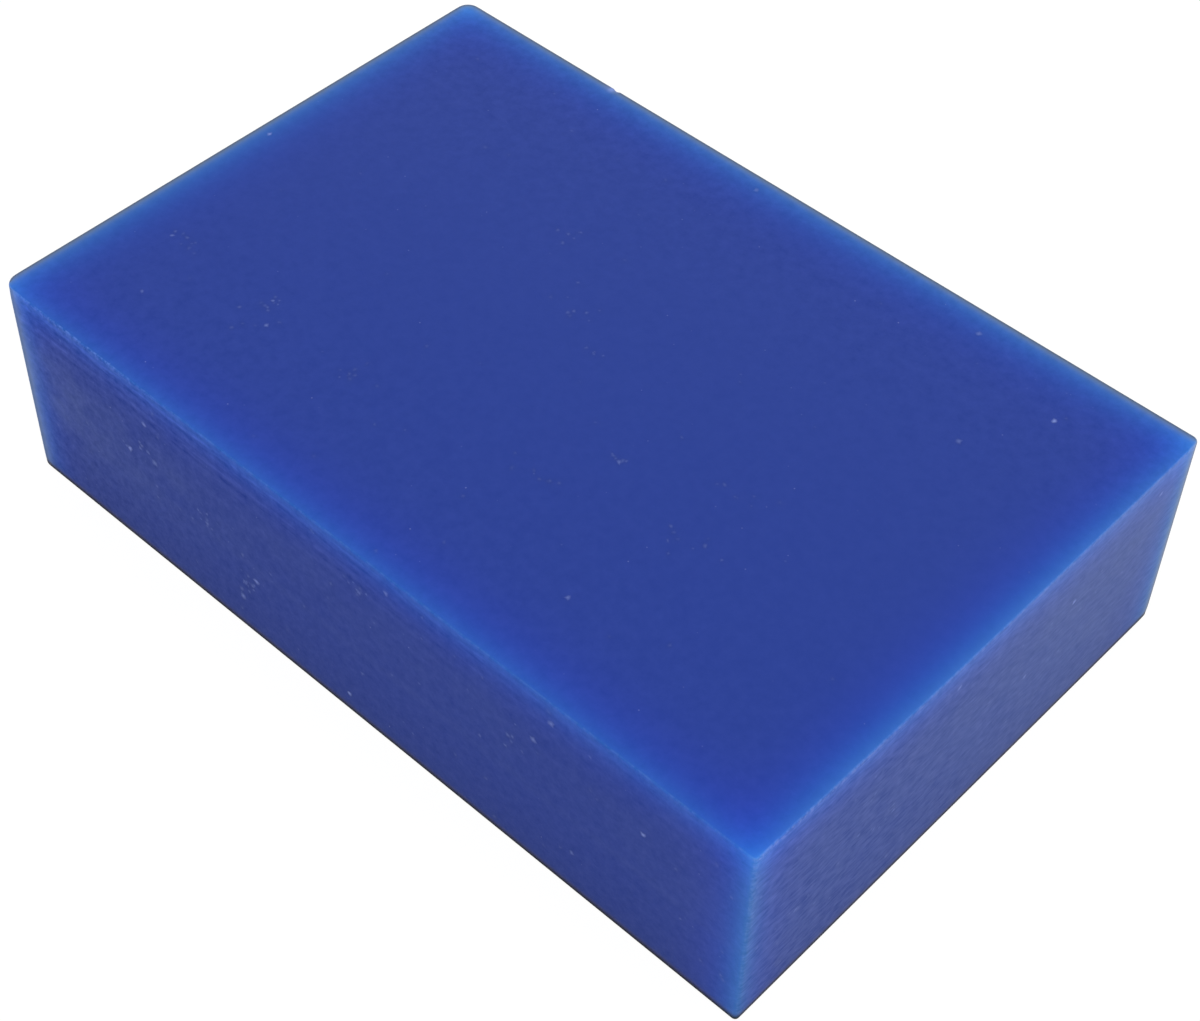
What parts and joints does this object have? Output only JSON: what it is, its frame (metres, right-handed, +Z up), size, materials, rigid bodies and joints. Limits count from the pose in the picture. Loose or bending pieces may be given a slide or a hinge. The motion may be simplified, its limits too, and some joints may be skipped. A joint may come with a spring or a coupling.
{
  "type": "carving wax block",
  "caption": "Solid rectangular block of hard translucent blue carving wax with softly rounded edges and corners, flat on its base.",
  "frame": {"origin": "middle of the base", "axes": "+X along the length from the cast end to the sawn end, +Y across the width towards the back side, +Z up"},
  "size_m": [0.139, 0.0926, 0.0365],
  "materials": {
    "wax": "dull satin blue wax, slightly translucent"
  },
  "bodies": {
    "root": {"wax_block": "wax"}
  },
  "joints": []
}
